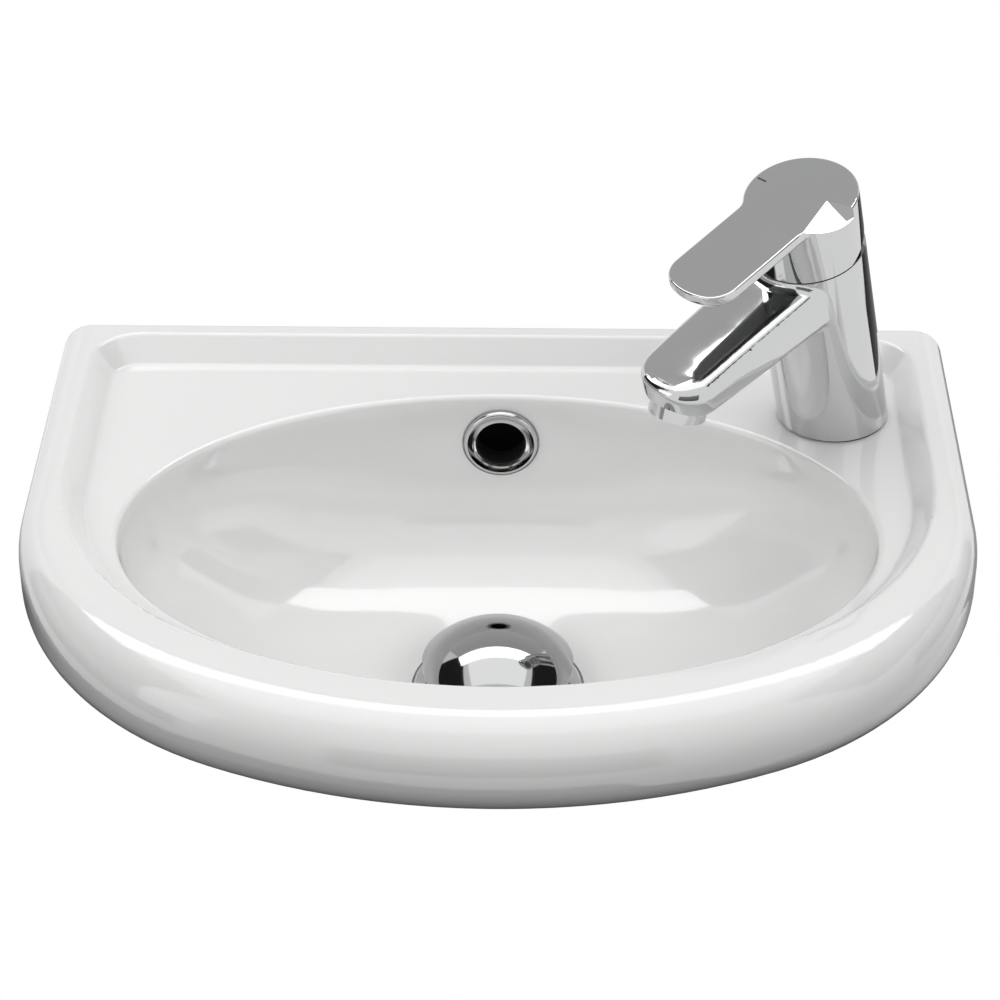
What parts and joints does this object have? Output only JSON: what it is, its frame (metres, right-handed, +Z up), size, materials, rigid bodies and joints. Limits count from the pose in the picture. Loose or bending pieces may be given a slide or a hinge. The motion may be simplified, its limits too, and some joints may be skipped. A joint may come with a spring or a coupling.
{
  "type": "wall-hung hand basin",
  "caption": "Small wall-hung hand basin with rolled D-shaped rim, oval bowl, overflow ring, click plug waste and a leaning single-lever mixer tap.",
  "frame": {"origin": "on the wall plane, midway between the two wall fixing holes", "axes": "+X to the right of someone facing the basin, +Y into the wall, +Z up"},
  "size_m": [0.36, 0.268, 0.2337],
  "materials": {
    "glaze": "gloss white glaze",
    "chrome": "polished chrome plate",
    "black_rubber": "matt",
    "brass": "turned",
    "steel": "zinc bright",
    "white_plastic": "moulded",
    "grey_plastic": "moulded",
    "black_plastic": "moulded",
    "disc_ceramic": "lapped",
    "index_ink": "gloss"
  },
  "bodies": {
    "basin": {"basin": "glaze", "overflow_ring": "chrome", "overflow_sleeve": "black_plastic", "waste_body": "chrome", "waste_seal": "black_rubber", "waste_washer": "black_rubber", "waste_backnut": "brass", "click_housing": "white_plastic", "click_end_cap": "white_plastic", "click_spring": "steel", "tap_body": "chrome", "tap_gasket": "black_rubber", "aerator_housing": "chrome", "aerator_insert": "grey_plastic", "aerator_washer": "black_rubber", "fixing_stud": "steel", "horseshoe_washer": "black_rubber", "horseshoe_plate": "steel", "fixing_nut": "brass", "cartridge_housing": "white_plastic", "cartridge_base": "white_plastic", "cartridge_seals": "black_rubber", "fixed_disc": "disc_ceramic", "cartridge_nut": "brass", "cartridge_cover": "chrome"},
    "plug": {"plug_dome": "chrome", "plug_seal": "black_rubber", "plug_stem": "brass"},
    "rotor": {"cartridge_rotor": "grey_plastic", "cartridge_pin": "steel"},
    "lever": {"lever_handle": "chrome", "cartridge_spindle": "steel", "grub_screw": "steel", "screw_plug": "chrome", "index_mark": "index_ink"},
    "disc": {"moving_disc": "disc_ceramic", "disc_carrier": "grey_plastic"}
  },
  "joints": [
    {"name": "plug_slide", "type": "slide", "parent": "basin", "child": "plug", "axis": [0, 0, 1], "range_m": [-0.0086, 0], "stiffness_N_per_m": 400, "springref_m": 0.01, "deforming": ["click_spring"]},
    {"name": "temperature_turn", "type": "hinge", "parent": "basin", "child": "rotor", "pos_m": [0.11642, -0.06158, 0.1372], "axis": [-0.177, -0.177, 0.9681], "range_deg": [-50, 50]},
    {"name": "flow_lift", "type": "hinge", "parent": "rotor", "child": "lever", "pos_m": [0.11624, -0.06176, 0.13817], "axis": [-0.7071, 0.7071, 0], "range_deg": [0, 20]},
    {"name": "disc_slide", "type": "slide", "parent": "rotor", "child": "disc", "axis": [-0.6846, -0.6846, -0.2504], "range_m": [0, 0.004]}
  ],
  "couplings": [
    {"joint": "disc_slide", "follows": "flow_lift", "m_per_rad": 0.011268}
  ]
}
